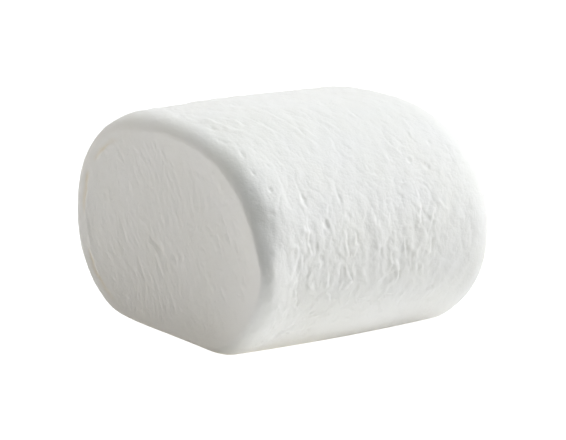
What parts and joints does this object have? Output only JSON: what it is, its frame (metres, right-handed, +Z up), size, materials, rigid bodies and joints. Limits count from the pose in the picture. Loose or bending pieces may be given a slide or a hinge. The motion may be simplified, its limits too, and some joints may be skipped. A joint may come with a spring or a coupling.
{
  "type": "marshmallow",
  "caption": "Soft white marshmallow, a starch-dusted sweet with flat cut ends and a crinkled side, slumped to an oval on a flat foot.",
  "frame": {"origin": "middle of the flat foot that the marshmallow rests on", "axes": "+X along the rope that the sweet was cut from, away from the near cut face; +Y across the oval, away from the crinkled side; +Z up"},
  "size_m": [0.0304, 0.039, 0.0242],
  "materials": {
    "marshmallow_foam": "matt, slightly translucent gelatin and sugar foam with a fine starch dusting"
  },
  "bodies": {
    "root": {"marshmallow": "marshmallow_foam"}
  },
  "joints": []
}
